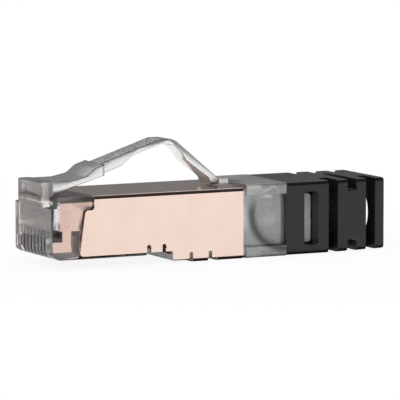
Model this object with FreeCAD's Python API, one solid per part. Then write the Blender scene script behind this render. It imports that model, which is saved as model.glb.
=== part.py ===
"""Shielded eight-contact modular plug with an arched snag-free latch and a slotted boot.

X runs from the nose to the cable end, Y runs across the plug, and Z is up. While a piece is
being drawn, X is zero at the contact face of the nose, Y at the centre plane and Z at the
plane that the plug rests on. Each piece is moved to the finished origin as it is written.
"""
import FreeCAD
import Part
import math
import os

V = FreeCAD.Vector

# Nose and body of the clear housing
nose_width = 11.68
nose_lift = 1.20            # floor of the nose above the rest plane
front_height = 6.60         # height of the contact zone above the nose floor
front_step = 0.70           # length of the low ledge at the very front
front_radius = 1.20         # bottom front edge
corner_radius = 0.50        # upright front corners
nose_drop = 0.04            # roof of the nose below the top of the shield
housing_length = 12.60
side_wall = 0.60
front_wall = 0.80
roof_wall = 0.55
cavity_floor = 3.60         # floor of the wire channel above the nose floor

# Root block that carries the latch
root_reach = 0.80           # how far it stands in front of the contact face
root_back = 1.53
root_width = 6.60
root_bottom = 6.50          # above the nose floor
root_pocket_width = 4.12
root_pocket_height = 1.10
root_pocket_depth = 0.55

# Contacts
contact_count = 8
contact_pitch = 1.02
contact_thick = 0.35
contact_inset = 0.12        # blade edge inside the outline of the nose
contact_top = 2.60          # slot roof above the nose floor
contact_back = 4.25
tooth_rise = 1.00           # piercing teeth above the floor of the wire channel
tooth_width = 0.55
tooth_gap = 0.40
slot_clear = 0.06           # each side of a blade

# Wire comb
comb_start = 4.70
comb_length = 6.80
comb_headroom = 0.46        # between the comb and the liner's roof
comb_rows = (0.3, 0.7)      # heights of the two rows of wires, as shares of the comb
wire_bore = 1.00
comb_clear = 0.06

# Liner, the thin inner screen that shows through the nose
liner_sheet = 0.20
liner_clear = 0.04
liner_start = 1.27
liner_tongue_start = 1.58
liner_tongue_width = 1.14
liner_tongue_bottom = 0.95  # above the nose floor
liner_toe_start = 0.36      # the tongue's foot reaches forwards from it
liner_toe_height = 1.30
pocket_clear = 0.05         # round the tongue and its toe

# Shield, one folded sheet
sheet = 0.25
shield_height = 8.00        # above the nose floor
shield_proud = 0.12         # each side of the nose
bend_radius = 0.45
shield_end = 27.05
top_edge = 5.80             # front edge of the top
side_shoulder = 6.20        # height of the step in the front edge, above the nose floor
side_edge_high = 4.55       # front edge under that step
side_edge_low = 3.72        # front edge at the bottom
side_bottom = 0.35          # lower edge of the front part, above the nose floor
edge_radius = 0.45
edge_gap = 0.22             # between the shield's front edge and its recess in the housing
side_fit = 0.06             # between the shield's sides and what they slide over
relief_starts = (13.20, 15.40)
relief_width = 0.60
relief_height = 1.00
ferrule_start = 17.00
skirt_lift = 0.30           # first skirt above the rest plane
strap_gap_starts = (19.25, 22.00)
strap_gap_width = 0.52
strap_gap_top = 1.30
strap_notch_length = 1.30   # from the start of the last gap, along the bottom edge
strap_notch_height = 0.30
seam_gap = 0.30

# Latch, one moulded arch that flexes at its root and at its peak
latch_width = 6.02
lever_width = 3.25
latch_root_top = 9.75       # above the nose floor
hinge_x = 3.90
hinge_thick = 0.84
shoulder_x = 8.66
shoulder_top = 11.62
shoulder_thick = 1.48
lever_step = 12.50          # middle of the step in the lever's underside
lever_step_run = 1.60
lever_step_radius = 1.50
ramp_start = 2.05           # foot of the ramp to the shoulders, behind the root's flex line
ramp_end = 1.76             # head of that ramp, in front of the shoulders' end
lever_thick = 0.70
peak_x = 17.00
peak_top = 14.33
peak_flat = 2.15
peak_radius = 1.00
leg_thick = 1.06
leg_step = 20.60
foot_x = 25.55
foot_height = 0.86
foot_gap = 0.10             # over the top of the shield
flex_gap = 0.06             # between the two sides of a flex line
flex_setback = 0.20

# Rear insert, clear collar with a cable tube
sleeve_start = 17.20
sleeve_wall = 0.75
collar_gap = 0.50           # between the shield's rear edge and the collar
collar_length = 5.85
collar_width = 11.68
collar_top = 9.55           # above the rest plane
collar_rim = 1.40           # height of the top and bottom rims
collar_pocket = 0.80        # depth of the side pockets
collar_wall = 0.75
cheek_radius = 4.10         # rounded cheeks inside the collar, one on each side of the cable
cheek_back = 0.50           # their centre behind the collar
cheek_lift = 0.50           # and above the cable's centre line
foot_slot_length = 1.36
foot_slot_clear = 0.32      # each side of the latch foot
tube_radius = 3.90
tube_wall = 0.60
tube_length = 5.40
tube_lead = 0.30

# Boot
boot_length = 14.80
boot_width = 11.68
boot_bottom = 0.04
boot_top = 9.50
boot_radius = 0.45
boot_taper_side = 0.35
boot_taper_bottom = 0.10
boot_seat_fit = 0.10        # between the insert's tube and the boot
boot_seat_end = 0.15        # behind the end of that tube
cable_bore = 3.60           # radius behind the tube
window_start = 2.65         # behind the boot's front face
window_length = 2.06
window_bottom = 1.20
window_top = 8.20
window_radius = 0.35
groove_start = 6.25
groove_pitch = 2.85
groove_width = 1.40
side_groove_depth = 3.45
top_notch_depth = 1.55
notch_radius = 0.25
end_radius = 0.30

# Heights above the rest plane that several pieces share
nose_floor = nose_lift
shield_top = nose_lift + shield_height
roof_under_shield = shield_top - sheet
shield_half = nose_width / 2 + shield_proud
shield_inner_half = shield_half - sheet
channel_floor = nose_floor + cavity_floor
channel_top = roof_under_shield - roof_wall
channel_half = nose_width / 2 - side_wall
collar_start = shield_end + collar_gap
collar_end = collar_start + collar_length
boot_end = collar_end + boot_length
bore_height = (boot_bottom + boot_top) / 2
middle_x = (boot_end - root_reach) / 2
far = 60.0                  # longer than any cut needs


def block(x0, x1, half_width, z0, z1):
    """A box that is symmetric about the centre plane."""
    return Part.makeBox(x1 - x0, 2 * half_width, z1 - z0, V(x0, -half_width, z0))


def rounded_wire(corners, to_point):
    """A closed wire through corners (u, v, radius), each radius as a tangent arc."""
    flat = [FreeCAD.Vector(c[0], c[1], 0) for c in corners]
    ends = []
    for i, corner in enumerate(corners):
        here = flat[i]
        back = (flat[i - 1] - here).normalize()
        ahead = (flat[(i + 1) % len(flat)] - here).normalize()
        radius = corner[2] if len(corner) > 2 else 0
        half_angle = math.acos(max(-1.0, min(1.0, back.dot(ahead)))) / 2
        if radius <= 0 or abs(half_angle - math.pi / 2) < 1e-4:
            ends.append((here, None, here))
            continue
        run = radius / math.tan(half_angle)
        to_centre = (back + ahead).normalize()
        middle = here + to_centre * (radius / math.sin(half_angle) - radius)
        ends.append((here + back * run, middle, here + ahead * run))
    edges = []
    for i, (start, middle, end) in enumerate(ends):
        if middle is not None:
            arc = Part.Arc(to_point(start), to_point(middle), to_point(end))
            edges.append(arc.toShape())
        following = ends[(i + 1) % len(ends)][0]
        if (following - end).Length > 1e-6:
            edges.append(Part.makeLine(to_point(end), to_point(following)))
    return Part.Wire(edges)


def side_prism(corners, half_width):
    """A profile drawn in X and Z, as thick as the width, about the centre plane."""
    wire = rounded_wire(corners, lambda p: V(p.x, -half_width, p.y))
    return Part.Face(wire).extrude(V(0, 2 * half_width, 0))


def plan_prism(corners, z0, z1):
    """A profile drawn in X and Y and raised from z0 to z1."""
    wire = rounded_wire(corners, lambda p: V(p.x, p.y, z0))
    return Part.Face(wire).extrude(V(0, 0, z1 - z0))


def section_wire(x, half_width, z0, z1, radius):
    """A rounded rectangle across the plug at one place along it."""
    corners = [(-half_width, z0, radius), (half_width, z0, radius),
               (half_width, z1, radius), (-half_width, z1, radius)]
    return rounded_wire(corners, lambda p: V(x, p.x, p.y))


def section_bar(x0, x1, half_width, z0, z1, radius):
    """A bar along X with a rounded rectangular section."""
    return Part.Face(section_wire(x0, half_width, z0, z1, radius)).extrude(V(x1 - x0, 0, 0))


def bar_along_x(x0, x1, radius, y, z):
    return Part.makeCylinder(radius, x1 - x0, V(x0, y, z), V(1, 0, 0))


def bar_across(x, z, radius, half_width):
    return Part.makeCylinder(radius, 2 * half_width, V(x, -half_width, z), V(0, 1, 0))


def one_solid(shape):
    """The single solid of a boolean result, with its seams merged."""
    clean = shape.removeSplitter()
    solids = clean.Solids
    if len(solids) != 1:
        raise ValueError("a piece came out as %d solids" % len(solids))
    return solids[0]


# ---- Latch outline -----------------------------------------------------------------------

def line_at(p, q, x):
    """Height at x on the line through p and q."""
    return p[1] + (q[1] - p[1]) * (x - p[0]) / (q[0] - p[0])


def latch_points():
    """Named corners of the arch, in X and Z."""
    base = nose_floor
    shoulder = (shoulder_x, base + shoulder_top)
    peak = (peak_x, base + peak_top)
    crest = (peak_x + peak_flat, base + peak_top)
    foot_bottom = shield_top + foot_gap
    heel = (foot_x, foot_bottom + foot_height)
    return shoulder, peak, crest, heel, foot_bottom


def latch_profile():
    """The whole arch in X and Z, from inside the root block to the foot."""
    shoulder, peak, crest, heel, foot_bottom = latch_points()
    root_top = nose_floor + latch_root_top
    hinge_under = root_top - hinge_thick - 0.06
    rise = math.atan2(peak[1] - shoulder[1], peak[0] - shoulder[0])
    fall = math.atan2(crest[1] - heel[1], heel[0] - crest[0])
    lever_drop = lever_thick / math.cos(rise)
    leg_drop = leg_thick / math.cos(fall)
    thin_drop = lever_thick / math.cos(fall)
    step_in = lever_step - lever_step_run / 2
    step_out = lever_step + lever_step_run / 2
    shoulder_under = shoulder[1] - shoulder_thick
    slope = math.tan(rise)
    toe_x = heel[0] - 0.75 * leg_drop
    return [
        (root_back - 0.5, root_top),
        (root_back - 0.5, shield_top - 0.4),
        (root_back + 0.3, shield_top - nose_drop + 0.15, 0.3),
        (hinge_x + 0.1, hinge_under, 1.5),
        (shoulder_x - 0.16, shoulder_under, 1.5),
        (step_in, shoulder_under + slope * (step_in - shoulder_x), lever_step_radius),
        (step_out, line_at(shoulder, peak, step_out) - lever_drop, lever_step_radius),
        (peak[0] + 0.35, line_at(shoulder, peak, peak[0] + 0.35) - lever_drop, peak_radius),
        (crest[0] + 0.05, crest[1] - thin_drop + 0.05, peak_radius),
        (leg_step - 0.3, line_at(crest, heel, leg_step - 0.3) - thin_drop),
        (leg_step + 0.3, line_at(crest, heel, leg_step + 0.3) - leg_drop, 0.4),
        (toe_x - 0.45, line_at(crest, heel, toe_x - 0.45) - leg_drop),
        (toe_x, foot_bottom, 0.25),
        (heel[0], foot_bottom),
        (heel[0], heel[1], 0.12),
        (crest[0], crest[1], peak_radius),
        (peak[0], peak[1], peak_radius),
        (shoulder[0], shoulder[1]),
        (shoulder_x - ramp_end, shoulder[1] - 0.32, 0.8),
        (hinge_x + ramp_start, root_top + 0.22, 1.2),
        (hinge_x + 0.2, root_top),
    ]


def latch_arch():
    """The arch as it is moulded: full width to the shoulders, then the narrow lever."""
    profile = latch_profile()
    wide = side_prism(profile, latch_width / 2)
    narrow = side_prism(profile, lever_width / 2)
    wide = wide.common(block(-far, shoulder_x, latch_width, -far, far))
    return wide.fuse(narrow)


def root_pivot():
    return hinge_x, nose_floor + latch_root_top - hinge_thick / 2


def peak_pivot():
    crest_top = nose_floor + peak_top
    return peak_x + peak_flat * 0.78, crest_top - lever_thick / 2


def flex_split(arch, pivot, thick, half_width):
    """The arch before and after a flex line, as a hollow and a round end that turns in it."""
    x, z = pivot
    radius = thick / 2
    before = arch.common(block(-far, x - flex_setback, far, -far, far))
    before = before.cut(bar_across(x, z, radius + flex_gap, far))
    after = arch.common(block(x, far, far, -far, far))
    after = after.fuse(bar_across(x, z, radius, half_width))
    return before, after


# ---- Housing -----------------------------------------------------------------------------

def shield_front_corners(grow):
    """Front and lower edge of the shield's side, moved outwards by grow."""
    base = nose_floor
    return [
        (far, shield_top + 1),
        (top_edge - grow, shield_top + 1),
        (top_edge - grow, base + side_shoulder + grow, edge_radius),
        (side_edge_high - grow, base + side_shoulder + grow, edge_radius),
        (side_edge_low - grow, base + side_bottom - grow, edge_radius),
        (far, base + side_bottom - grow),
    ]


def contact_ys():
    first = -contact_pitch * (contact_count - 1) / 2
    return [first + contact_pitch * i for i in range(contact_count)]


def nose_form():
    """Outside of the housing without its root block."""
    top = shield_top - nose_drop
    side = side_prism([
        (0, nose_floor, front_radius),
        (housing_length, nose_floor),
        (housing_length, top),
        (front_step, top, 0.15),
        (front_step, nose_floor + front_height, 0.1),
        (0, nose_floor + front_height, 0.15),
    ], nose_width / 2)
    half = nose_width / 2
    plan = plan_prism([
        (0, -half, corner_radius),
        (housing_length, -half),
        (housing_length, half),
        (0, half, corner_radius),
    ], 0, far)
    return side.common(plan)


def root_block():
    """Block on the front of the nose that the latch grows out of."""
    base = nose_floor
    outer = side_prism([
        (-root_reach, base + root_bottom, 0.15),
        (root_back, base + root_bottom),
        (root_back, base + latch_root_top),
        (-root_reach, base + latch_root_top, 0.2),
    ], root_width / 2)
    pocket_top = base + latch_root_top - 0.62
    pocket = block(-root_reach - 1, -root_reach + root_pocket_depth,
                   root_pocket_width / 2, pocket_top - root_pocket_height, pocket_top)
    return outer.cut(pocket)


def shield_seat():
    """What the housing gives up so that the shield lies in it."""
    seat = side_prism(shield_front_corners(edge_gap), nose_width)
    kept = block(-far, far, shield_inner_half - side_fit, -far, roof_under_shield)
    return seat.cut(kept)


def contact_slots():
    slots = []
    width = contact_thick + 2 * slot_clear
    for y in contact_ys():
        low = Part.makeBox(contact_back + 2, width, contact_top + 2,
                           V(-2, y - width / 2, nose_floor - 2))
        slit = Part.makeBox(contact_back - tooth_start(), width, channel_floor,
                            V(tooth_start(), y - width / 2, nose_floor + contact_top - 0.1))
        slots.append(low.fuse(slit))
    return slots


def tooth_start():
    return contact_back - 2 * tooth_width - tooth_gap


def make_housing(arch_root):
    body = nose_form()
    body = body.cut(shield_seat())
    body = body.fuse(root_block())
    channel = block(front_wall, housing_length + 1, channel_half, channel_floor, channel_top)
    body = body.cut(channel)
    between = channel_half - liner_sheet - 2 * liner_clear
    pocket = liner_tongue(channel_half, pocket_clear)
    body = body.cut(pocket.cut(block(-far, far, between, -far, far)))
    for slot in contact_slots():
        body = body.cut(slot)
    body = body.fuse(arch_root)
    return one_solid(body)


def make_contact(y):
    """A flat blade with two piercing teeth."""
    low = nose_floor + contact_inset
    top = nose_floor + contact_top
    tip = channel_floor + tooth_rise
    first = tooth_start()
    second = first + tooth_width + tooth_gap
    profile = [
        (contact_inset, low, front_radius - contact_inset),
        (contact_back, low, 0.2),
        (contact_back, tip - 0.5),
        (second + tooth_width / 2, tip),
        (second, tip - 0.5),
        (second, top + 0.3),
        (first + tooth_width, top + 0.3),
        (first + tooth_width, tip - 0.5),
        (first + tooth_width / 2, tip),
        (first, tip - 0.5),
        (first, top),
        (contact_inset, top, 0.1),
    ]
    blade = side_prism(profile, contact_thick / 2)
    blade.translate(V(0, y, 0))
    return one_solid(blade)


def make_comb():
    """Block that holds the eight wires in two staggered rows."""
    half = channel_half - liner_clear - liner_sheet - comb_clear
    x1 = comb_start + comb_length
    comb_top = channel_top - liner_clear - liner_sheet - comb_headroom
    comb = block(comb_start, x1, half, channel_floor, comb_top)
    rows = [channel_floor + (comb_top - channel_floor) * share for share in comb_rows]
    for i, y in enumerate(contact_ys()):
        row = rows[i % len(rows)]
        comb = comb.cut(bar_along_x(comb_start - 1, x1 + 1, wire_bore / 2, y, row))
    return one_solid(comb)


def liner_tongue(half_width, grow):
    """The tongue under the liner's sides with its toe, moved outwards by grow."""
    low = nose_floor + liner_tongue_bottom - grow
    tongue_end = liner_tongue_start + liner_tongue_width + grow
    tongue = block(liner_tongue_start - grow, tongue_end, half_width, low, channel_floor + 0.1)
    toe = block(liner_toe_start - grow, tongue_end, half_width, low,
                low + liner_toe_height + 2 * grow)
    return tongue.fuse(toe)


def make_liner():
    """Inner screen: a roof and two sides, each with a tongue that locates it."""
    half = channel_half - liner_clear
    top = channel_top - liner_clear
    outer = section_bar(liner_start, housing_length, half, channel_floor - 1, top, 0.15)
    outer = outer.common(block(-far, far, far, channel_floor, far))
    hollow = block(-far, far, half - liner_sheet, -far, top - liner_sheet)
    return one_solid(outer.fuse(liner_tongue(half, 0)).cut(hollow))


# ---- Shield ------------------------------------------------------------------------------

def relief(x0, width, top):
    """An upright slot with a round top, open downwards."""
    x1 = x0 + width
    return side_prism([
        (x0, -1), (x1, -1), (x1, top, width * 0.45), (x0, top, width * 0.45),
    ], far)


def make_shield():
    base = nose_floor
    outline = side_prism([
        (shield_end, shield_top + 1),
        (top_edge, shield_top + 1),
        (top_edge, base + side_shoulder, edge_radius),
        (side_edge_high, base + side_shoulder, edge_radius),
        (side_edge_low, base + side_bottom, edge_radius),
        (ferrule_start, base + side_bottom, 0.15),
        (ferrule_start, skirt_lift, 0.2),
        (strap_gap_starts[0], skirt_lift),
        (strap_gap_starts[0], -1),
        (shield_end, -1),
    ], far)
    outer = section_bar(0, shield_end, shield_half, 0, shield_top, bend_radius)
    inner = section_bar(-1, shield_end + 1, shield_inner_half, sheet, roof_under_shield,
                        bend_radius - sheet)
    shield = outer.cut(inner).common(outline)
    for x0 in relief_starts:
        slot_top = base + side_bottom + relief_height
        shield = shield.cut(relief(x0, relief_width, slot_top))
    for x0 in strap_gap_starts:
        shield = shield.cut(relief(x0, strap_gap_width, strap_gap_top))
    notch_start = strap_gap_starts[-1]
    shield = shield.cut(block(notch_start, notch_start + strap_notch_length, far,
                              -1, strap_notch_height))
    seam = block(ferrule_start, far, seam_gap / 2, -1, sheet + 0.1)
    return one_solid(shield.cut(seam))


# ---- Rear insert -------------------------------------------------------------------------

def make_insert():
    sleeve_half = shield_inner_half - side_fit
    collar_half = collar_width / 2
    sleeve = section_bar(sleeve_start, collar_start + 0.5, sleeve_half, sheet,
                         roof_under_shield, 0.3)
    collar = section_bar(collar_start, collar_end, collar_half, 0, collar_top, 0.3)
    body = sleeve.fuse(collar)
    pocket_half = collar_half - collar_pocket
    pocket = block(shield_end + 0.1, collar_end + 1, far, collar_rim, collar_top - collar_rim)
    body = body.cut(pocket.cut(block(-far, far, pocket_half, -far, far)))
    sleeve_hollow = block(sleeve_start - 1, collar_start, sleeve_half - sleeve_wall,
                          sheet + sleeve_wall, roof_under_shield - sleeve_wall)
    collar_hollow = block(collar_start - 0.5, collar_end - collar_wall,
                          pocket_half - collar_wall, collar_wall, collar_top - collar_wall)
    cheeks = bar_across(collar_end + cheek_back, bore_height + cheek_lift, cheek_radius, far)
    body = body.cut(sleeve_hollow).cut(collar_hollow.cut(cheeks))
    foot_slot = block(collar_start - 0.01, collar_start + foot_slot_length,
                      lever_width / 2 + foot_slot_clear, collar_rim, far)
    body = body.cut(foot_slot)
    tube = bar_along_x(collar_end - 0.1, collar_end + tube_length, tube_radius, 0, bore_height)
    rim = [e for e in tube.Edges if abs(e.CenterOfMass.x - collar_end - tube_length) < 1e-4]
    tube = tube.makeChamfer(tube_lead, rim)
    bore = bar_along_x(collar_start, far, tube_radius - tube_wall, 0, bore_height)
    return one_solid(body.fuse(tube).cut(bore))


# ---- Boot --------------------------------------------------------------------------------

def boot_form():
    """A straight front part and a rear part that narrows a little."""
    half = boot_width / 2
    split = collar_end + groove_start
    front = section_bar(collar_end, split, half, boot_bottom, boot_top, boot_radius)
    rear = Part.makeLoft([
        section_wire(split, half, boot_bottom, boot_top, boot_radius),
        section_wire(boot_end, half - boot_taper_side, boot_bottom + boot_taper_bottom,
                     boot_top, boot_radius),
    ], True, True)
    end_edges = [e for e in rear.Edges if min(v.X for v in e.Vertexes) > boot_end - 1e-4]
    return front.fuse(rear.makeFillet(end_radius, end_edges))


def side_groove(x0):
    """A groove cut from each side over the full height."""
    cut = block(x0, x0 + groove_width, far, -far, far)
    web = block(-far, far, boot_width / 2 - side_groove_depth, -far, far)
    return cut.cut(web)


def flat_notch(x0):
    """A notch cut from above and from below over the full width."""
    x1 = x0 + groove_width
    notches = []
    for floor, side in ((boot_top - top_notch_depth, far), (boot_bottom + top_notch_depth, -far)):
        notches.append(side_prism([
            (x0, floor, notch_radius), (x1, floor, notch_radius), (x1, side), (x0, side),
        ], far))
    return notches[0].fuse(notches[1])


def make_boot():
    body = boot_form()
    seat_end = collar_end + tube_length + boot_seat_end
    seat_radius = tube_radius + boot_seat_fit
    body = body.cut(bar_along_x(collar_end - 1, seat_end, seat_radius, 0, bore_height))
    body = body.cut(bar_along_x(seat_end - 1, boot_end + 1, cable_bore, 0, bore_height))
    x0 = collar_end + window_start
    window = side_prism([
        (x0, window_bottom, window_radius),
        (x0 + window_length, window_bottom, window_radius),
        (x0 + window_length, window_top, window_radius),
        (x0, window_top, window_radius),
    ], far)
    body = body.cut(window)
    grooves = [collar_end + groove_start + groove_pitch * i for i in range(3)]
    body = body.cut(side_groove(grooves[0]))
    body = body.cut(flat_notch(grooves[1]))
    body = body.cut(side_groove(grooves[2]))
    return one_solid(body)


# ---- Pieces ------------------------------------------------------------------------------

def make_pieces():
    arch = latch_arch()
    root, moving = flex_split(arch, root_pivot(), hinge_thick, latch_width / 2)
    arm, leg = flex_split(moving, peak_pivot(), lever_thick, lever_width / 2)
    pieces = {
        "plug_housing": make_housing(root),
        "latch_arm": one_solid(arm),
        "latch_leg": one_solid(leg),
        "wire_comb": make_comb(),
        "inner_liner": make_liner(),
        "shield_shell": make_shield(),
        "rear_insert": make_insert(),
        "boot": make_boot(),
    }
    for i, y in enumerate(contact_ys()):
        pieces["contact_%d" % (i + 1)] = make_contact(y)
    return pieces


def main():
    os.makedirs("parts", exist_ok=True)
    for name, shape in make_pieces().items():
        shape.translate(V(-middle_x, 0, 0))
        shape.exportStep("parts/%s.step" % name)
        box = shape.BoundBox
        print("%-14s valid %s  volume %8.2f  X %6.2f %6.2f  Z %5.2f %5.2f" % (
            name, shape.isValid(), shape.Volume, box.XMin, box.XMax, box.ZMin, box.ZMax))


main()
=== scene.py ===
"""Finishes a shielded modular plug and lays out the studio that it stands in.

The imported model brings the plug's solids. The operators here give them their surfaces: clear
mouldings, plated sheet metal, plated contacts and the matt boot. The housing, the liner and the
latch are replaced by finer pieces, and the last operator builds the stage.
"""

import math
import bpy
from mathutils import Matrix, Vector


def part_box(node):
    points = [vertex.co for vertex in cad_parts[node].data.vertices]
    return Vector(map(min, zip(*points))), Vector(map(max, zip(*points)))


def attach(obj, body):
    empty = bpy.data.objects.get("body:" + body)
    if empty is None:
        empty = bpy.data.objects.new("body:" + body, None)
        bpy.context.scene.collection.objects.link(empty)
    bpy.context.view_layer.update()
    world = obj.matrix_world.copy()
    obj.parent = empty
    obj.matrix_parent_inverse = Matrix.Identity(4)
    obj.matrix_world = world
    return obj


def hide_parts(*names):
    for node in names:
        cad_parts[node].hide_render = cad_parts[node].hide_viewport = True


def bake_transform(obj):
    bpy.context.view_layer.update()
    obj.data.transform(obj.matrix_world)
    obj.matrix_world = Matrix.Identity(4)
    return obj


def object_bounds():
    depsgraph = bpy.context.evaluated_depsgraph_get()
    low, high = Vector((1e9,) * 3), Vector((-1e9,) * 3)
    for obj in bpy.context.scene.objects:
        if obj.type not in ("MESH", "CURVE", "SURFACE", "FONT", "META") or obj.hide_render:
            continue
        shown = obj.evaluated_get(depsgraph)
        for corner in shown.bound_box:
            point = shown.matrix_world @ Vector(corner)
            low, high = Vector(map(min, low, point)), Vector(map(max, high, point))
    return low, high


bl_info = {
    "name": "Modular Plug Finish",
    "version": (1, 0, 0),
    "blender": (4, 5, 0),
    "location": "3D Viewport > Sidebar > Plug",
    "description": "Surfaces and studio for a shielded modular plug with an arched latch",
    "category": "Object",
}

import bmesh
import bpy
from mathutils import Vector

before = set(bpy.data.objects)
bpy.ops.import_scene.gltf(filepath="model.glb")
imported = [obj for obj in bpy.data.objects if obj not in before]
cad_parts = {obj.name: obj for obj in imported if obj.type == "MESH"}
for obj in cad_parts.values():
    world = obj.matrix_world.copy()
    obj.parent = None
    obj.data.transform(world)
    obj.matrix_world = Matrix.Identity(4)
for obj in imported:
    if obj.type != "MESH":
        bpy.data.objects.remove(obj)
cad_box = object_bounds()

MM = 0.001
CONTACT_NODES = tuple(sorted(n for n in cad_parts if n.startswith("contact_")))

# Places on the housing, in millimetres behind the front of the plug and above the root's top
ROOT_BACK = 2.00            # back of the root block
ROOT_STUB = 2.33            # where the solids' flex stub starts
NOSE_ROOF = -1.785
CHANNEL_LIFT = 0.15         # the wire channel's roof and the liner's roof go up by this
SATIN_DEPTH = 0.65          # of the root's satin and painted shade, below the roof of the nose

# Places on the latch, in millimetres
ROOT_FLEX = 0.42            # root's flex line behind the front of the solid arm
ROOT_LENGTH = 2.71          # from the front of the shoulders' piece to that line
ROOT_SINK = 0.005           # that piece below the top of the root block
FROST_START = 5.20          # where the lever leaves the shoulders, behind the front of the arm

# Places on the cable tube's flats and the boot's window, in millimetres
WINDOW_START = 2.65         # behind the boot's front
WINDOW_LENGTH = 2.06
FLAT_HEIGHT = 6.50
FLAT_FACE = 3.90            # from the middle plane
FLAT_DROP = 0.20            # its middle below the boot's


# ---- Settings ----------------------------------------------------------------------------

def colour(name, description, default):
    return bpy.props.FloatVectorProperty(
        name=name, description=description, default=default, size=3, min=0.0, max=1.0,
        subtype="COLOR")


def length(name, description, default_mm):
    return bpy.props.FloatProperty(
        name=name, description=description, default=default_mm * MM, min=0.0, precision=6,
        unit="LENGTH")


def share(name, description, default):
    return bpy.props.FloatProperty(
        name=name, description=description, default=default, min=0.0, max=1.0,
        subtype="FACTOR")


class PlugColours(bpy.types.PropertyGroup):
    """Colours of the plug's materials"""

    clear: colour("Clear Plastic", "Tint of the latch and the insert", (0.90, 0.895, 0.885))
    housing: colour("Housing Plastic", "Tint of the clear housing", (0.94, 0.89, 0.88))
    shield: colour("Shield", "Rose plating of the folded shield", (0.90, 0.71, 0.625))
    shield_warm: colour("Shield Tone", "Warmer tone in the plating", (0.885, 0.69, 0.60))
    contact: colour("Contacts", "Plating of the contact blades", (0.72, 0.71, 0.69))
    comb: colour("Wire Comb", "Natural plastic of the wire comb", (0.30, 0.275, 0.26))
    # painted light: opaque pale grey that stands in for the clear tube as it shows lit through the
    # boot's window
    tube: colour("Tube", "Milky plastic of the cable tube", (0.76, 0.76, 0.75))
    boot: colour("Boot", "Black plastic of the boot", (0.008, 0.008, 0.0085))
    boot_dust: colour("Boot Bloom", "Greyer bloom on the black plastic", (0.011, 0.011, 0.011))


class PlugSurfaces(bpy.types.PropertyGroup):
    """Sizes and roughness of the plug's surface texture"""

    housing_clarity: share("Housing Clarity", "Light that goes through the housing", 0.99)
    housing_gloss: share("Housing Roughness", "Roughness of the housing", 0.12)
    housing_mirror: share("Housing Sheen", "Light that the housing's skin mirrors", 0.0)
    insert_clarity: share("Insert Clarity", "Light that goes through the rear insert", 0.8)
    insert_gloss: share("Insert Roughness", "Roughness of the rear insert", 0.15)
    insert_mirror: share("Insert Sheen", "Light that the rear insert's skin mirrors", 0.1)
    root_satin: share("Root Satin", "Roughness of the block that the latch grows out of", 0.4)
    # painted shade: share of light left in the colour of the root block and the nose's top band
    root_painted_shade: share("Root Shade", "Light left by the block that the latch grows out of", 0.8)
    # painted shade and painted highlight: a dark arc on the cheek's rim and a pale dish in the
    # insert's colour
    cheek_radius: length("Cheek Radius", "Of the rounded cheek inside the collar", 4.6)
    cheek_painted_rim_width: length("Cheek Rim", "Width of the cheek's thick rim, each way", 1.0)
    cheek_rim_painted_shade: share("Cheek Shade", "Light left along the cheek's rim", 0.2)
    cheek_height: length("Cheek Height", "Middle of the cheek above the rest plane", 5.6)
    latch_clarity: share("Latch Clarity", "Light that goes through the latch", 0.6)
    latch_gloss: share("Latch Roughness", "Roughness of the latch's sides", 0.2)
    latch_mirror: share("Latch Sheen", "Light that the latch's skin mirrors", 0.9)
    clear_edge: length("Clear Edges", "Softening of the clear housing's edges", 0.12)
    clear_grain: length("Clear Ripple", "Size of the ripple in the clear mouldings", 1.6)
    frost_roughness: share("Frost", "Roughness of the frosted top of the latch", 0.4)
    frost_grain: length("Frost Grain", "Size of the grain on the frosted top", 0.3)
    metal_roughness: share("Metal Roughness", "Roughness of the plated sheet", 0.08)
    metal_grain: length("Metal Grain", "Size of the fine grain of the plated sheet", 0.12)
    boot_roughness: share("Boot Roughness", "Roughness of the matt boot", 0.28)
    boot_grain: length("Spark Texture", "Size of the boot's spark-eroded grain", 0.14)


class PlugLatch(bpy.types.PropertyGroup):
    """Sizes of the latch, one moulded arch that bends at its root and at its peak"""

    shoulder_width: length("Shoulder Width", "Across the shoulders and the root", 6.02)
    lever_width: length("Lever Width", "Across the lever and the leg", 3.25)
    shoulder_thick: length("Shoulder Thickness", "Height of the shoulders' end", 1.48)
    lever_thick: length("Lever Thickness", "Of the thin lever up to the peak", 0.70)
    leg_thick: length("Leg Thickness", "Of the thick leg", 1.06)
    toe_thick: length("Toe Thickness", "Of the leg where it meets its foot", 0.85)
    foot_height: length("Foot Height", "At the end of the leg", 0.86)
    root_bend: length("Root Bend", "Length that bends at the root", 2.0)
    edge: length("Edge Rounding", "Radius of the latch's long edges", 0.10)
    peak_bend: length("Peak Bend", "Length that bends at the peak", 2.6)


class PlugStudio(bpy.types.PropertyGroup):
    """Camera, lamps and surroundings"""

    azimuth: bpy.props.FloatProperty(
        name="Azimuth", description="Direction that the camera stands in",
        default=math.radians(-27.0), subtype="ANGLE")
    elevation: bpy.props.FloatProperty(
        name="Elevation", description="Height of the camera above the horizon",
        default=math.radians(6.42), subtype="ANGLE")
    distance: length("Distance", "From the camera to the point that it looks at", 519.0)
    aim_height: length("Aim Height", "Height of the point that the camera looks at", 7.17)
    aim_along: bpy.props.FloatProperty(
        name="Aim Along", description="Place of that point along the plug",
        default=0.1 * MM, precision=6, unit="LENGTH")
    lens: bpy.props.FloatProperty(
        name="Lens", description="Focal length on a 36 mm sensor", default=360.0, min=1.0,
        unit="CAMERA")
    key: share("Key Level", "Share of full light from the key lamp", 0.45)
    fill: share("Fill Level", "Share of full light from the fill lamp", 0.15)
    ambient: share("Room Level", "Share of full light from the room", 0.55)
    floor: colour("Floor", "Pale floor", (0.98, 0.98, 0.98))


# ---- Shader tools ------------------------------------------------------------------------

def feed(tree, source, target):
    """Links a socket to an input, or sets a plain value on it."""
    if isinstance(source, bpy.types.NodeSocket):
        tree.links.new(source, target)
    else:
        target.default_value = source


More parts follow.
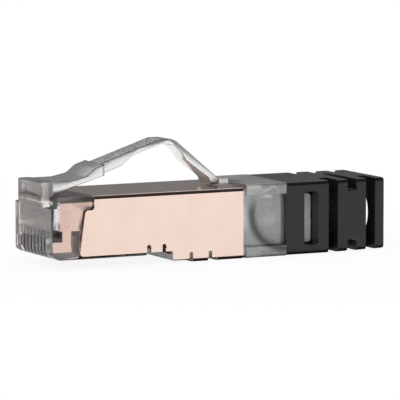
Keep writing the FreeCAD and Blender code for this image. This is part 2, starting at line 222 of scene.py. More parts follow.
def add_node(tree, kind, settings=(), **inputs):
    """A new node with its settings, and with inputs named with _ for a space."""
    node = tree.nodes.new(kind)
    for name, value in dict(settings).items():
        setattr(node, name, value)
    for name, value in inputs.items():
        feed(tree, value, node.inputs[name.replace("_", " ")])
    return node


def maths(tree, operation, first, second=0.0, clamp=False):
    node = tree.nodes.new("ShaderNodeMath")
    node.operation = operation
    node.use_clamp = clamp
    feed(tree, first, node.inputs[0])
    feed(tree, second, node.inputs[1])
    return node.outputs[0]


def remap(tree, value, low, high, to_low, to_high):
    """The value's range low to high, smoothly turned into to_low to to_high."""
    node = add_node(tree, "ShaderNodeMapRange", {"interpolation_type": "SMOOTHSTEP"})
    feed(tree, value, node.inputs["Value"])
    for name, number in (("From Min", low), ("From Max", high),
                         ("To Min", to_low), ("To Max", to_high)):
        feed(tree, number, node.inputs[name])
    return node.outputs["Result"]


def mix_colour(tree, factor, first, second):
    node = add_node(tree, "ShaderNodeMix", {"data_type": "RGBA"},
                    Factor=factor, A=first, B=second)
    return node.outputs["Result"]


def mix_value(tree, factor, first, second):
    node = add_node(tree, "ShaderNodeMix", {"data_type": "FLOAT"},
                    Factor=factor, A=first, B=second)
    return node.outputs["Result"]


def parts_of(tree, vector):
    """The X, Y and Z of a vector."""
    return add_node(tree, "ShaderNodeSeparateXYZ", Vector=vector).outputs


def solid(rgb, light=1.0):
    """An opaque colour with that share of its light left."""
    return (light * rgb[0], light * rgb[1], light * rgb[2], 1.0)


def new_group(name, inputs, outputs):
    """A shader node group with float inputs {name: default} and named float outputs."""
    group = bpy.data.node_groups.new(name, "ShaderNodeTree")
    for title, default in inputs.items():
        socket = group.interface.new_socket(title, in_out="INPUT", socket_type="NodeSocketFloat")
        socket.default_value = default
    for title in outputs:
        group.interface.new_socket(title, in_out="OUTPUT", socket_type="NodeSocketFloat")
    start = group.nodes.new("NodeGroupInput")
    end = group.nodes.new("NodeGroupOutput")
    return group, start.outputs, end.inputs


def object_coordinates(tree):
    return add_node(tree, "ShaderNodeTexCoord").outputs["Object"]


def moulded_skin():
    """Group for moulded and plated skins: fine grain, soft ripple and patchy gloss."""
    name = "Moulded Skin"
    if name in bpy.data.node_groups:
        return bpy.data.node_groups[name]
    group, given, result = new_group(
        name,
        {"Grain Size": 0.1 * MM, "Gloss": 0.2, "Gloss Spread": 0.05},
        ("Roughness", "Height", "Patches"))
    place = object_coordinates(group)
    grain_scale = maths(group, "DIVIDE", 1.0, given["Grain Size"])
    grain = add_node(group, "ShaderNodeTexNoise", Vector=place, Scale=grain_scale, Detail=3.0)
    grain_in_patch = 0.04       # a grain's size as a share of a patch's
    patch_scale = maths(group, "MULTIPLY", grain_scale, grain_in_patch)
    patches = add_node(group, "ShaderNodeTexNoise", Vector=place, Scale=patch_scale, Detail=4.0)
    spread = maths(group, "SUBTRACT", patches.outputs["Fac"], 0.5)
    spread = maths(group, "MULTIPLY", spread, maths(group, "MULTIPLY", given["Gloss Spread"], 2.0))
    roughness = maths(group, "ADD", given["Gloss"], spread, clamp=True)
    feed(group, roughness, result["Roughness"])
    feed(group, grain.outputs["Fac"], result["Height"])
    feed(group, remap(group, patches.outputs["Fac"], 0.35, 0.65, 0.0, 1.0), result["Patches"])
    return group


def add_skin(tree, grain, gloss, spread):
    """Places the skin group in a material with its own grain size and gloss."""
    return add_node(tree, "ShaderNodeGroup", {"node_tree": moulded_skin()},
                    Grain_Size=grain, Gloss=gloss, Gloss_Spread=spread).outputs


def bump(tree, height, strength, depth):
    """A Bump node's normal. Depth is the height's own scale, in metres."""
    node = add_node(tree, "ShaderNodeBump", Strength=strength, Distance=depth)
    feed(tree, height, node.inputs["Height"])
    return node.outputs["Normal"]


def new_material(name):
    """An empty material, its node tree and its Principled shader."""
    material = bpy.data.materials.new(name)
    material.use_nodes = True
    tree = material.node_tree
    return material, tree, tree.nodes["Principled BSDF"]


def patchy_material(name, tones, grain, gloss, spread, relief=None, metallic=0.0):
    """An opaque moulded or plated material whose tone slowly changes between two.

    The relief is the strength and the depth of its grain."""
    material, tree, shader = new_material(name)
    shader.inputs["Metallic"].default_value = metallic
    skin = add_skin(tree, grain, gloss, spread)
    feed(tree, mix_colour(tree, skin["Patches"], *tones), shader.inputs["Base Color"])
    feed(tree, skin["Roughness"], shader.inputs["Roughness"])
    if relief:
        feed(tree, bump(tree, skin["Height"], *relief), shader.inputs["Normal"])
    return material


def clear_material(name, tint, surfaces, clarity, gloss, mirror):
    """A material of clear plastic, its node tree, its shader and its skin."""
    material, tree, shader = new_material(name)
    shader.inputs["Metallic"].default_value = mirror
    shader.inputs["Base Color"].default_value = solid(tint)
    shader.inputs["Transmission Weight"].default_value = clarity
    shader.inputs["IOR"].default_value = 1.55
    return material, tree, shader, add_skin(tree, surfaces.clear_grain, gloss, spread=0.03)


def clear_surface(tree, shader, skin, tint, roughness):
    """Feeds clear plastic its changing tint and roughness, and a soft ripple."""
    feed(tree, tint, shader.inputs["Base Color"])
    feed(tree, roughness, shader.inputs["Roughness"])
    ripple = bump(tree, skin["Height"], strength=0.15, depth=0.01 * MM)
    feed(tree, ripple, shader.inputs["Normal"])


def housing_plastic(name, colours, surfaces):
    """Clear moulding, satin and with painted shade on the root block that the latch grows out of.
    """
    material, tree, shader, skin = clear_material(
        name, colours.housing, surfaces, surfaces.housing_clarity, surfaces.housing_gloss,
        surfaces.housing_mirror)
    height = parts_of(tree, object_coordinates(tree))["Z"]
    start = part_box("plug_housing")[1].z + (NOSE_ROOF - SATIN_DEPTH) * MM
    fade = 0.05 * MM
    root_satin_and_painted_shade = remap(tree, height, start - fade, start + fade, 0.0, 1.0)
    # painted shade: the housing's tint is darkened on the root block and the top band of the nose
    tint = mix_colour(tree, root_satin_and_painted_shade, solid(colours.housing),
                      solid(colours.housing, surfaces.root_painted_shade))
    roughness = mix_value(tree, root_satin_and_painted_shade, skin["Roughness"], surfaces.root_satin)
    clear_surface(tree, shader, skin, tint, roughness)
    return material


def insert_plastic(name, colours, surfaces):
    """Clear moulding with a rounded cheek inside its collar: a pale dish of painted highlight
    with a dark rim of painted shade.

    The painted shade on the rim is dark below and fades out on its way up."""
    material, tree, shader, skin = clear_material(
        name, colours.clear, surfaces, surfaces.insert_clarity, surfaces.insert_gloss,
        surfaces.insert_mirror)
    radius = surfaces.cheek_radius
    place = parts_of(tree, object_coordinates(tree))
    along = maths(tree, "SUBTRACT", place["X"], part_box("boot")[0].x)
    upward = maths(tree, "SUBTRACT", place["Z"], surfaces.cheek_height)
    squares = [maths(tree, "MULTIPLY", way, way) for way in (along, upward)]
    reach = maths(tree, "SQRT", maths(tree, "ADD", *squares))
    off_rim = maths(tree, "ABSOLUTE", maths(tree, "SUBTRACT", reach, radius))
    # painted shade along the cheek's rim, darkest below, and a painted highlight in its dish
    rim = remap(tree, off_rim, 0.0, surfaces.cheek_painted_rim_width, 1.0, 0.0)
    below = remap(tree, upward, 0.0, radius * 0.6, 1.0, 0.0)
    dish = remap(tree, reach, radius * 0.5, radius * 0.8, 1.0, 0.0)
    tint = mix_colour(tree, dish, solid(colours.clear), (1.0, 1.0, 1.0, 1.0))
    tint = mix_colour(tree, maths(tree, "MULTIPLY", rim, below), tint,
                      solid(colours.clear, surfaces.cheek_rim_painted_shade))
    clear_surface(tree, shader, skin, tint, skin["Roughness"])
    return material


def frosted_plastic(name, colours, surfaces):
    """The latch: clear, with a dark speckled frost on the narrow lever's upper face.

    The ends of the shoulders beside the lever are darkened too, with painted shade."""
    material, tree, shader, skin = clear_material(
        name, colours.clear, surfaces, surfaces.latch_clarity, surfaces.latch_gloss,
        surfaces.latch_mirror)
    object_place = object_coordinates(tree)
    place = parts_of(tree, object_place)
    facing = parts_of(tree, add_node(tree, "ShaderNodeNewGeometry").outputs["Normal"])
    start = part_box("latch_arm")[0].x + FROST_START * MM
    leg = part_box("latch_leg")[0].x
    past_shoulders = remap(tree, place["X"], start, start + 0.4 * MM, 0.0, 1.0)
    before_leg = remap(tree, place["X"], leg, leg + MM, 1.0, 0.0)
    on_lever = maths(tree, "MULTIPLY", past_shoulders, before_leg)
    faces_up = remap(tree, facing["Z"], 0.5, 0.8, 0.0, 1.0)
    frosted = maths(tree, "MULTIPLY", on_lever, faces_up)
    grain = add_node(tree, "ShaderNodeTexNoise", Vector=object_place, Detail=2.0,
                     Scale=1.0 / surfaces.frost_grain).outputs["Fac"]
    speckle = maths(tree, "MULTIPLY", frosted, remap(tree, grain, 0.42, 0.58, 0.0, 1.0))
    off_middle = maths(tree, "ABSOLUTE", place["Y"])
    # painted shade on the ends of the shoulders beside the lever, joined with the frost's speckle
    beside_lever = remap(tree, off_middle, 1.7 * MM, 1.8 * MM, 0.0, 1.0)
    painted_shade_at_end = remap(tree, place["X"], start - 0.45 * MM, start - 0.15 * MM, 0.0, 1.0)
    dark = maths(tree, "MAXIMUM", speckle, maths(tree, "MULTIPLY", painted_shade_at_end, beside_lever))
    feed(tree, mix_colour(tree, dark, solid(colours.clear), solid(colours.clear, light=0.5)),
         shader.inputs["Base Color"])
    feed(tree, mix_value(tree, frosted, skin["Roughness"], surfaces.frost_roughness),
         shader.inputs["Roughness"])
    height = maths(tree, "MULTIPLY", grain, frosted)
    feed(tree, bump(tree, height, strength=1.0, depth=0.12 * MM), shader.inputs["Normal"])
    return material


def rose_metal(name, colours, surfaces):
    """Plated sheet with a faint fine grain and slow changes of tone."""
    tones = solid(colours.shield), solid(colours.shield_warm)
    return patchy_material(name, tones, surfaces.metal_grain, surfaces.metal_roughness,
                           spread=0.05, relief=(0.05, 0.01 * MM), metallic=1.0)


def contact_metal(name, colours):
    """Plated contact blades, stamped and satin."""
    tones = solid(colours.contact), solid(colours.contact, light=0.86)
    return patchy_material(name, tones, grain=0.08 * MM, gloss=0.5, spread=0.08,
                           relief=(0.1, 0.01 * MM), metallic=1.0)


def comb_plastic(name, colours):
    """Natural moulded plastic of the wire comb."""
    tones = solid(colours.comb), solid(colours.comb, light=0.88)
    return patchy_material(name, tones, grain=0.2 * MM, gloss=0.4, spread=0.08,
                           relief=(0.2, 0.02 * MM))


def painted_light_tube_grey(name, colours):
    """Opaque pale grey behind the boot's window: painted light in place of the clear tube seen lit
    there.
    """
    tones = solid(colours.tube), solid(colours.tube, light=0.9)
    return patchy_material(name, tones, grain=0.3 * MM, gloss=0.3, spread=0.05)


def black_plastic(name, colours, surfaces):
    """Matt black moulding with a spark-eroded grain and a faint grey bloom."""
    tones = solid(colours.boot), solid(colours.boot_dust)
    return patchy_material(name, tones, surfaces.boot_grain, surfaces.boot_roughness,
                           spread=0.1, relief=(0.1, 0.02 * MM))


def dress(names, material):
    """Gives CAD nodes one material."""
    for name in names:
        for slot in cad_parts[name].material_slots:
            slot.material = material


# ---- Mesh tools --------------------------------------------------------------------------

def rounded(corners, steps=6):
    """A closed line through corners (x, z, radius), with each corner rounded."""
    line = []
    for i, (x, z, radius) in enumerate(corners):
        corner = Vector((x, z))
        if not radius:
            line.append(corner)
            continue
        before = Vector(corners[i - 1][:2]) - corner
        after = Vector(corners[(i + 1) % len(corners)][:2]) - corner
        half = before.angle(after) / 2
        reach = min(radius / math.tan(half), 0.48 * before.length, 0.48 * after.length)
        before.normalize()
        after.normalize()
        centre = corner + (before + after).normalized() * (reach / math.cos(half))
        first = corner + before * reach - centre
        last = corner + after * reach - centre
        for step in range(steps + 1):
            turned = first.slerp(last, step / steps).normalized()
            line.append(centre + turned * first.length)
    return line


def spaced(line, gap):
    """The closed line with no two neighbours further apart than the gap."""
    points = []
    for i, point in enumerate(line):
        ahead = line[(i + 1) % len(line)]
        count = max(1, math.ceil((ahead - point).length / gap))
        points.extend(point.lerp(ahead, step / count) for step in range(count))
    return points


def inwards(line):
    """For each point of a closed line, the way to the same line set in by 1."""
    ways = []
    for i, point in enumerate(line):
        back = (point - line[i - 1]).normalized()
        ahead = (line[(i + 1) % len(line)] - point).normalized()
        way = Vector((-back.y - ahead.y, back.x + ahead.x)).normalized()
        ways.append(way / way.dot(Vector((-ahead.y, ahead.x))))
    return ways


def bar_mesh(name, line, width, edge, steps=5):
    """A bar with that outline in X and Z, which runs anticlockwise, and with its edges rounded."""
    mesh = bmesh.new()
    ways = inwards(line)
    rings = []
    for side in (-1, 1):
        for step in range(steps + 1):
            turn = math.radians(90.0) * (step if side < 0 else steps - step) / steps
            y = side * (width / 2 - edge * (1 - math.cos(turn)))
            inset = edge * (1 - math.sin(turn))
            rings.append([mesh.verts.new((p.x + way.x * inset, y, p.y + way.y * inset))
                          for p, way in zip(line, ways)])
    mesh.faces.new(rings[0])
    mesh.faces.new(reversed(rings[-1]))
    for ring, following in zip(rings, rings[1:]):
        for i in range(len(line)):
            j = (i + 1) % len(line)
            mesh.faces.new((ring[i], following[i], following[j], ring[j]))
    bmesh.ops.recalc_face_normals(mesh, faces=mesh.faces)
    return finished_mesh(name, mesh)


def finished_mesh(name, work, sharp=30.0):
    """Turns a bmesh into a mesh that shades smoothly over gentle edges."""
    mesh = bpy.data.meshes.new(name)
    work.to_mesh(mesh)
    work.free()
    mesh.shade_smooth()
    mesh.set_sharp_from_angle(angle=math.radians(sharp))
    return mesh


def add_piece(name, mesh, material, body=None):
    """A new piece, attached to the body if one is given."""
    piece = bpy.data.objects.new(name, mesh)
    bpy.context.scene.collection.objects.link(piece)
    mesh.materials.clear()
    mesh.materials.append(material)
    if body:
        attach(piece, body)
    return piece


def node_mesh(node, name):
    """A copy of a CAD node's mesh with its faces joined along their edges."""
    same_place = 0.002 * MM
    work = bmesh.new()
    work.from_mesh(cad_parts[node].data)
    bmesh.ops.remove_doubles(work, verts=work.verts, dist=same_place)
    return finished_mesh(name, work)


def cut_away(mesh, low, high):
    """Takes a box out of a mesh."""
    work = bmesh.new()
    bmesh.ops.create_cube(work, size=1.0)
    for vert in work.verts:
        vert.co = [low[i] if vert.co[i] < 0 else high[i] for i in range(3)]
    cutter = bpy.data.objects.new("cutter", finished_mesh("cutter", work))
    body = bpy.data.objects.new("cut body", mesh)
    for item in (cutter, body):
        bpy.context.scene.collection.objects.link(item)
    cut = body.modifiers.new("Cut", "BOOLEAN")
    cut.object = cutter
    cut.operation = "DIFFERENCE"
    cut.solver = "EXACT"
    bpy.context.view_layer.update()
    seen = body.evaluated_get(bpy.context.evaluated_depsgraph_get())
    result = bpy.data.meshes.new_from_object(seen)
    for item in (cutter, body):
        bpy.data.objects.remove(item)
    return result


def shift_points(mesh, low, high, shift):
    """Moves every point of a mesh that lies in a box."""
    for vert in mesh.vertices:
        if all(low[i] <= vert.co[i] <= high[i] for i in range(3)):
            vert.co += Vector(shift)


def soften(piece, width, low, high):
    """Rounds a piece's sharp edges, apart from those in a box where it joins another piece."""
    sharp = math.radians(50.0)
    work = bmesh.new()
    work.from_mesh(piece.data)
    weight = work.edges.layers.float.new("bevel_weight_edge")
    for edge in work.edges:
        hidden = all(low[i] <= vert.co[i] <= high[i] for vert in edge.verts for i in range(3))
        if len(edge.link_faces) == 2 and not hidden:
            edge[weight] = float(edge.calc_face_angle() > sharp)
    work.to_mesh(piece.data)
    work.free()
    bevel = piece.modifiers.new("Softened Edges", "BEVEL")
    bevel.width = width
    bevel.segments = 3
    bevel.limit_method = "WEIGHT"
    bevel.harden_normals = True


# ---- Operators for the pieces ------------------------------------------------------------

def housing_mesh():
    """The housing with a plain root block, which the bending latch then grows out of.

    Places and moves are in millimetres, from the front of the plug, its middle plane and the
    root's top. Each face is named by the narrow range that it lies in."""
    low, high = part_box("plug_housing")

    def spot(x, y, z):
        return Vector((low.x + x * MM, y * MM, high.z + z * MM))

    root_y, root_z = (-4, 4), (-4, 1)
    mesh = cut_away(node_mesh("plug_housing", "housing"),
                    spot(ROOT_STUB, root_y[0], NOSE_ROOF), spot(8, root_y[1], 2))

    def move(x, y, z, way):
        """Moves the points that lie in those ranges of x, y and z."""
        start, end = zip(x, y, z)
        shift_points(mesh, spot(*start), spot(*end), [part * MM for part in way])

    for side in (-1, 1):
        root_side = sorted((3.25 * side, 3.35 * side))
        move((-1, 2.5), root_side, (-3.4, 1), (0, 0.18 * side, 0))
        pocket_side = sorted((2.0 * side, 2.1 * side))
        move((-1, 0.6), pocket_side, (-3.4, 1), (0, 0.44 * side, 0))
    pocket_floor = (-1.8, -1.6)
    move((-1, 0.6), (-3, 3), pocket_floor, (0, 0, -0.2))
    pocket_back = (0.45, 0.65)
    move(pocket_back, root_y, root_z, (-0.05, 0, 0))
    front_and_pocket = (-1, 0.65)
    move(front_and_pocket, root_y, root_z, (0.3, 0, 0))
    root_back = (2.25, 2.4)
    move(root_back, root_y, (-1.9, 1), (ROOT_BACK - ROOT_STUB, 0, 0))
    channel_front = (1.55, 1.65)
    move(channel_front, (-5.3, 5.3), (-6.2, -2.5), (0.42, 0, 0))
    channel_roof = (-2.6, -2.5)
    move((1.5, 20), (-6, 6), channel_roof, (0, 0, CHANNEL_LIFT))
    housing_end = (13.3, 14)
    move(housing_end, (-7, 7), (-12, 0), (0.65, 0, 0))
    return mesh


class PLUG_OT_housing(bpy.types.Operator):
    """Gives the housing its clear plastic and the plain block that the latch grows out of"""

    bl_idname = "plug.housing"
    bl_label = "Housing"

    def execute(self, context):
        scene = context.scene
        surfaces = scene.plug_surfaces
        material = housing_plastic("Clear Housing", scene.plug_colours, surfaces)
        low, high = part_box("plug_housing")
        piece = add_piece("housing", housing_mesh(), material, "plug_body")
        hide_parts("plug_housing")
        joint = Vector((low.x + ROOT_BACK * MM, 0, high.z))
        around = Vector((0.1 * MM, 3.1 * MM, 0.05 * MM))
        soften(piece, surfaces.clear_edge, joint - around, joint + around)
        return {"FINISHED"}


class PLUG_OT_liner(bpy.types.Operator):
    """Fits the liner's roof under the housing's roof"""

    bl_idname = "plug.liner"
    bl_label = "Liner"

    def execute(self, context):
        low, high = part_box("inner_liner")
        mesh = node_mesh("inner_liner", "liner")
        roof_depth = 0.3 * MM
        roof = Vector((low.x - MM, low.y - MM, high.z - roof_depth))
        shift_points(mesh, roof, high + Vector((MM, MM, MM)), (0, 0, CHANNEL_LIFT * MM))
        scene = context.scene
        material = rose_metal("Liner Plating", scene.plug_colours, scene.plug_surfaces)
        piece = add_piece("liner", mesh, material, "plug_body")
        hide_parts("inner_liner")
        return {"FINISHED"}


def flat_mesh(name, start, middle, side):
    """The flat on the side of the cable tube, which shows in the boot's window."""
    gap = 0.04 * MM
    half = FLAT_HEIGHT * MM / 2
    left, right = start + gap, start + WINDOW_LENGTH * MM - gap
    corner = 0.5 * MM
    line = rounded([(left, middle + half, corner), (left, middle - half, corner),
                    (right, middle - half, corner), (right, middle + half, corner)])
    depth, edge = 0.9 * MM, 0.15 * MM
    mesh = bar_mesh(name, line, depth, edge)
    for vert in mesh.vertices:
        vert.co.y += side * (FLAT_FACE * MM - depth / 2)
    return mesh


class PLUG_OT_insert(bpy.types.Operator):
    """Gives the rear insert its plastic, and its cable tube flats of painted light grey in the
    boot's windows
    """

    bl_idname = "plug.insert"
    bl_label = "Rear Insert"

    def execute(self, context):
        scene = context.scene
        material = insert_plastic("Milky Insert", scene.plug_colours, scene.plug_surfaces)
        dress(("rear_insert",), material)
        # painted light: opaque grey flats in place of the clear tube seen lit
        flats = painted_light_tube_grey("Tube Flats", scene.plug_colours)
        low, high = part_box("boot")
        start = low.x + WINDOW_START * MM
        middle = (low.z + high.z) / 2 - FLAT_DROP * MM
        for side, name in ((-1, "tube_flat_near"), (1, "tube_flat_far")):
            add_piece(name, flat_mesh(name, start, middle, side), flats, "plug_body")
        return {"FINISHED"}


def latch_lines(sizes, hinge, base):
    """Outlines of the shoulders and of the lever with its leg, as corners (x, z, radius).

    They are placed from the root's flex line and from the root's top. The lever is set into the
    shoulders' end."""
    leg_low, leg_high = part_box("latch_leg")
    rise = math.radians(18.0)
    fall = math.radians(40.0)
    root_x, root_z = hinge - ROOT_LENGTH * MM, base - ROOT_SINK * MM
    end_x, end_z = hinge + 4.76 * MM, base + 1.87 * MM
    under_end = end_z - sizes.shoulder_thick
    inlet_x = end_x - 0.3 * MM
    peak_x, crest_x = hinge + 13.1 * MM, hinge + 15.25 * MM
    under_peak_x = peak_x + 0.35 * MM
    peak_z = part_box("latch_arm")[1].z
    heel_x, heel_z = leg_high.x, leg_low.z + sizes.foot_height
    foot_z = leg_low.z

    def on_lever(x):
        return end_z + (x - end_x) * (peak_z - end_z) / (peak_x - end_x)

    def on_leg(x):
        return peak_z + (x - crest_x) * (heel_z - peak_z) / (heel_x - crest_x)

    lever_drop = sizes.lever_thick / math.cos(rise)
    thin_drop = sizes.lever_thick / math.cos(fall)
    leg_drop = sizes.leg_thick / math.cos(fall)
    toe_drop = sizes.toe_thick / math.cos(fall)
    toe_x = heel_x - 1.04 * MM
    above_toe_x = toe_x - 0.3 * MM
    step_in, step_out = hinge + 7.8 * MM, hinge + 9.4 * MM
    leg_in, leg_out = hinge + 16.55 * MM, hinge + 17.15 * MM

    def under_lever(x):
        return under_end + math.tan(rise) * (x - end_x)

    shoulders = [
        (root_x, root_z, 0),
        (root_x, base - 1.80 * MM, 0),
        (hinge - 2.07 * MM, base - 1.64 * MM, 0.3 * MM),
        (hinge + 0.10 * MM, base - 0.90 * MM, 1.5 * MM),
        (end_x - 0.16 * MM, under_end, 1.0 * MM),
        (end_x, under_lever(end_x), 0),
        (end_x, end_z, 0),
        (end_x - 1.44 * MM, end_z - 0.46 * MM, 0.8 * MM),
        (hinge + 2.10 * MM, base + 0.43 * MM, 1.2 * MM),
        (hinge - 0.05 * MM, base, 0.5 * MM),
    ]
    lever = [
        (inlet_x, on_lever(inlet_x) - 0.01 * MM, 0),
        (inlet_x, under_lever(inlet_x) + 0.01 * MM, 0),
        (step_in, under_lever(step_in), 1.5 * MM),
        (step_out, on_lever(step_out) - lever_drop, 1.5 * MM),
        (under_peak_x, on_lever(under_peak_x) - lever_drop, 1.0 * MM),
        (crest_x + 0.05 * MM, peak_z - thin_drop + 0.05 * MM, 1.6 * MM),
        (leg_in, on_leg(leg_in) - thin_drop, 0.3 * MM),
        (leg_out, on_leg(leg_out) - leg_drop, 0.4 * MM),
        (above_toe_x, on_leg(above_toe_x) - toe_drop, 0.2 * MM),
        (toe_x, foot_z, 0),
        (heel_x, foot_z, 0),
        (heel_x, heel_z, 0),
        (crest_x, peak_z, 2.4 * MM),
        (peak_x, peak_z, 1.0 * MM),
    ]
    return shoulders, lever


def latch_mesh(name, corners, width, edge):
    """A bar with that outline, divided along its length."""
    gap = 0.4 * MM
    return bar_mesh(name, spaced(rounded(corners), gap), width, edge)


class PLUG_OT_latch(bpy.types.Operator):
    """Makes the latch of clear plastic with a frosted lever, as two pieces: the shoulders and the
    lever with its leg
    """

    bl_idname = "plug.latch"
    bl_label = "Latch"

    def execute(self, context):
        scene = context.scene
        sizes = scene.plug_latch
        material = frosted_plastic("Frosted Latch", scene.plug_colours, scene.plug_surfaces)
        arm_low, arm_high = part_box("latch_arm")
        hinge = arm_low.x + ROOT_FLEX * MM
        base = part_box("plug_housing")[1].z
        shoulder_line, lever_line = latch_lines(sizes, hinge, base)
        shoulders = add_piece(
            "latch_shoulders",
            latch_mesh("latch_shoulders", shoulder_line, sizes.shoulder_width, sizes.edge),
            material)
        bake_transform(shoulders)
        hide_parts("latch_arm")
        lever = add_piece(
            "latch_lever",
            latch_mesh("latch_lever", lever_line, sizes.lever_width, sizes.edge),
            material)
        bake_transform(lever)
        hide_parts("latch_arm", "latch_leg")
        return {"FINISHED"}


class PLUG_OT_shield(bpy.types.Operator):
    """Gives the folded shield its rose plating"""

    bl_idname = "plug.shield"
    bl_label = "Shield"

    def execute(self, context):
        scene = context.scene
        material = rose_metal("Rose Plating", scene.plug_colours, scene.plug_surfaces)
        dress(("shield_shell",), material)
        return {"FINISHED"}


class PLUG_OT_contacts(bpy.types.Operator):
    """Gives the eight contact blades their plating"""

    bl_idname = "plug.contacts"
    bl_label = "Contacts"

    def execute(self, context):
        material = contact_metal("Contact Plating", context.scene.plug_colours)
        dress(CONTACT_NODES, material)
        return {"FINISHED"}


class PLUG_OT_wire_comb(bpy.types.Operator):
    """Gives the wire comb its natural plastic"""

    bl_idname = "plug.wire_comb"
    bl_label = "Wire Comb"

    def execute(self, context):
        material = comb_plastic("Comb Plastic", context.scene.plug_colours)
        dress(("wire_comb",), material)
        return {"FINISHED"}


class PLUG_OT_boot(bpy.types.Operator):
    """Gives the boot its matt black plastic"""

    bl_idname = "plug.boot"
    bl_label = "Boot"

    def execute(self, context):
        scene = context.scene
        material = black_plastic("Matt Boot", scene.plug_colours, scene.plug_surfaces)
        dress(("boot",), material)
        return {"FINISHED"}


# ---- Stage -------------------------------------------------------------------------------

def orbit(target, azimuth, elevation, distance):
    """A point that far from the target. Azimuth 0 is in front, and elevation is upwards."""
    back = Vector((math.sin(azimuth) * math.cos(elevation),
                   -math.cos(azimuth) * math.cos(elevation), math.sin(elevation)))
    return target + back * distance


def aim(item, target):
    """Turns a camera or lamp to look at the target."""
    item.rotation_mode = "QUATERNION"
    item.rotation_quaternion = (target - item.location).to_track_quat("-Z", "Y")


def add_lamp(name, target, azimuth, elevation, distance, size, level):
    """A square soft lamp. Level 1 lights a surface that faces it as a white room would."""
    data = bpy.data.lights.new(name, "AREA")
    data.size = size
    data.energy = level * (math.pi * distance) ** 2
    lamp = bpy.data.objects.new(name, data)
    bpy.context.scene.collection.objects.link(lamp)
    lamp.location = orbit(target, math.radians(azimuth), math.radians(elevation), distance)
    aim(lamp, target)
    lamp.visible_camera = False
    lamp.visible_glossy = False
    lamp.visible_transmission = False


def add_camera(studio):
    data = bpy.data.cameras.new("Camera")
    data.sensor_width = 36.0
    data.lens = studio.lens
    data.clip_start = 10 * MM
    camera = bpy.data.objects.new("Camera", data)
    bpy.context.scene.collection.objects.link(camera)
    target = Vector((studio.aim_along, 0.0, studio.aim_height))
    camera.location = orbit(target, studio.azimuth, studio.elevation, studio.distance)
    aim(camera, target)
    bpy.context.scene.camera = camera


def indirect_view(tree, path):
    """1 for a ray that comes off gloss or through something clear."""
    return maths(tree, "MAXIMUM", path["Is Glossy Ray"], path["Is Transmission Ray"])


def floor_material(studio):
    """White wherever it is seen, with the shadow that falls on it near the plug.

    Reflected and refracted rays find it dark within a few millimetres: painted contact shadow,
    as where the plug rests on it and shuts out the light."""
    material, tree, shader = new_material("Pale Floor")
    shader.inputs["Roughness"].default_value = 0.9
    shader.inputs["Specular IOR Level"].default_value = 0.0
    path = add_node(tree, "ShaderNodeLightPath").outputs
    indirect = indirect_view(tree, path)
    # painted shadow: the floor turns dark for reflected and refracted rays that reach it within a
    # few millimetres
    away = remap(tree, path["Ray Length"], 0.5 * MM, 4.0 * MM, 0.0, 1.0)
    painted_contact_shadow = maths(tree, "MULTIPLY", indirect, maths(tree, "SUBTRACT", 1.0, away))
    shade = (0.02, 0.015, 0.012, 1.0)
    feed(tree, mix_colour(tree, painted_contact_shadow, solid(studio.floor), shade),
         shader.inputs["Base Color"])
    place = add_node(tree, "ShaderNodeNewGeometry").outputs["Position"]
    reach = add_node(tree, "ShaderNodeVectorMath", {"operation": "LENGTH"}, Vector=place)
    open_floor = remap(tree, reach.outputs["Value"], 26.0 * MM, 60.0 * MM, 0.90, 1.0)
    seen = maths(tree, "MAXIMUM", path["Is Camera Ray"],
                 maths(tree, "MULTIPLY", indirect, away))
    glow = add_node(tree, "ShaderNodeEmission", Color=(1.0, 1.0, 1.0, 1.0), Strength=1.0)
    mix = add_node(tree, "ShaderNodeMixShader")
    feed(tree, maths(tree, "MULTIPLY", seen, open_floor), mix.inputs["Fac"])
    tree.links.new(shader.outputs["BSDF"], mix.inputs[1])
    tree.links.new(glow.outputs["Emission"], mix.inputs[2])
    tree.links.new(mix.outputs["Shader"], tree.nodes["Material Output"].inputs["Surface"])
    return material


def add_floor(studio):
    """A floor that reaches past every view, just under the plug."""
    half = 3.0
    level = cad_box[0].z - 0.02 * MM
    corners = [(-half, -half, level), (half, -half, level),
               (half, half, level), (-half, half, level)]
    mesh = bpy.data.meshes.new("floor")
    mesh.from_pydata(corners, [], [(0, 1, 2, 3)])
    mesh.materials.append(floor_material(studio))
    floor = bpy.data.objects.new("floor", mesh)
    bpy.context.scene.collection.objects.link(floor)


def add_room(studio):
    """White behind the plug for the camera, and for reflections a dim room with a bright wall.

    The wall is beyond the plug, and it is brightest up high."""
    world = bpy.data.worlds.new("Room")
    bpy.context.scene.world = world
    world.use_nodes = True
    tree = world.node_tree
    background = tree.nodes["Background"]
    direction = parts_of(tree, add_node(tree, "ShaderNodeTexCoord").outputs["Generated"])
    beyond = remap(tree, direction["Y"], 0.12, 0.42, 0.0, 1.0)
    wall = remap(tree, direction["Z"], 0.35, 0.80, 0.2, 0.85)
    elsewhere = remap(tree, direction["Z"], 0.0, 0.75, 0.02, 0.04)
    reflected = mix_value(tree, beyond, elsewhere, wall)
    path = add_node(tree, "ShaderNodeLightPath").outputs
    level = mix_value(tree, indirect_view(tree, path), studio.ambient, reflected)
    white = 1.0
    background.inputs["Color"].default_value = (1.0, 1.0, 1.0, 1.0)
    feed(tree, mix_value(tree, path["Is Camera Ray"], level, white),
         background.inputs["Strength"])


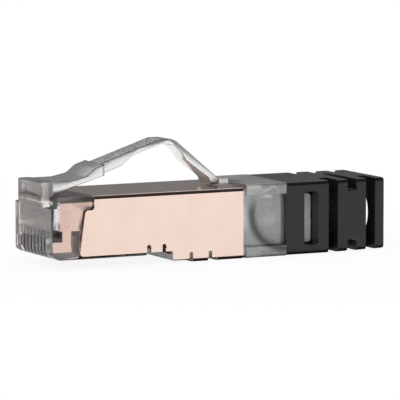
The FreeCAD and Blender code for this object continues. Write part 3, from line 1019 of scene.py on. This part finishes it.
class PLUG_OT_stage(bpy.types.Operator):
    """Builds the floor, the room, the lamps and the camera"""

    bl_idname = "plug.stage"
    bl_label = "Stage"

    def execute(self, context):
        studio = context.scene.plug_studio
        context.scene.view_settings.view_transform = "Standard"
        middle = (cad_box[0] + cad_box[1]) / 2
        add_room(studio)
        add_floor(studio)
        add_lamp("Key", middle, azimuth=-50.0, elevation=45.0, distance=0.40, size=0.30,
                 level=studio.key)
        add_lamp("Fill", middle, azimuth=150.0, elevation=50.0, distance=0.45, size=0.30,
                 level=studio.fill)
        add_camera(studio)
        return {"FINISHED"}


# ---- Panel and registration --------------------------------------------------------------

OPERATORS = (
    PLUG_OT_housing,
    PLUG_OT_liner,
    PLUG_OT_insert,
    PLUG_OT_latch,
    PLUG_OT_shield,
    PLUG_OT_contacts,
    PLUG_OT_wire_comb,
    PLUG_OT_boot,
    PLUG_OT_stage,
)


class PLUG_PT_finish(bpy.types.Panel):
    """Lists the plug's pieces and settings"""

    bl_idname = "PLUG_PT_finish"
    bl_label = "Modular Plug"
    bl_space_type = "VIEW_3D"
    bl_region_type = "UI"
    bl_category = "Plug"

    def draw(self, context):
        layout = self.layout
        for operator in OPERATORS:
            layout.operator(operator.bl_idname)
        for group in (context.scene.plug_colours, context.scene.plug_surfaces,
                      context.scene.plug_latch, context.scene.plug_studio):
            box = layout.box()
            for name in group.__annotations__:
                box.prop(group, name)


CLASSES = (PlugColours, PlugSurfaces, PlugLatch, PlugStudio) + OPERATORS + (PLUG_PT_finish,)


def register():
    for cls in CLASSES:
        bpy.utils.register_class(cls)
    scene = bpy.types.Scene
    scene.plug_colours = bpy.props.PointerProperty(type=PlugColours)
    scene.plug_surfaces = bpy.props.PointerProperty(type=PlugSurfaces)
    scene.plug_latch = bpy.props.PointerProperty(type=PlugLatch)
    scene.plug_studio = bpy.props.PointerProperty(type=PlugStudio)


def unregister():
    del bpy.types.Scene.plug_studio
    del bpy.types.Scene.plug_latch
    del bpy.types.Scene.plug_surfaces
    del bpy.types.Scene.plug_colours
    for cls in reversed(CLASSES):
        bpy.utils.unregister_class(cls)


def main():
    register()
    bpy.ops.plug.housing()
    bpy.ops.plug.liner()
    bpy.ops.plug.insert()
    bpy.ops.plug.latch()
    bpy.ops.plug.shield()
    bpy.ops.plug.contacts()
    bpy.ops.plug.wire_comb()
    bpy.ops.plug.boot()
    bpy.ops.plug.stage()


if __name__ == "__main__":
    main()
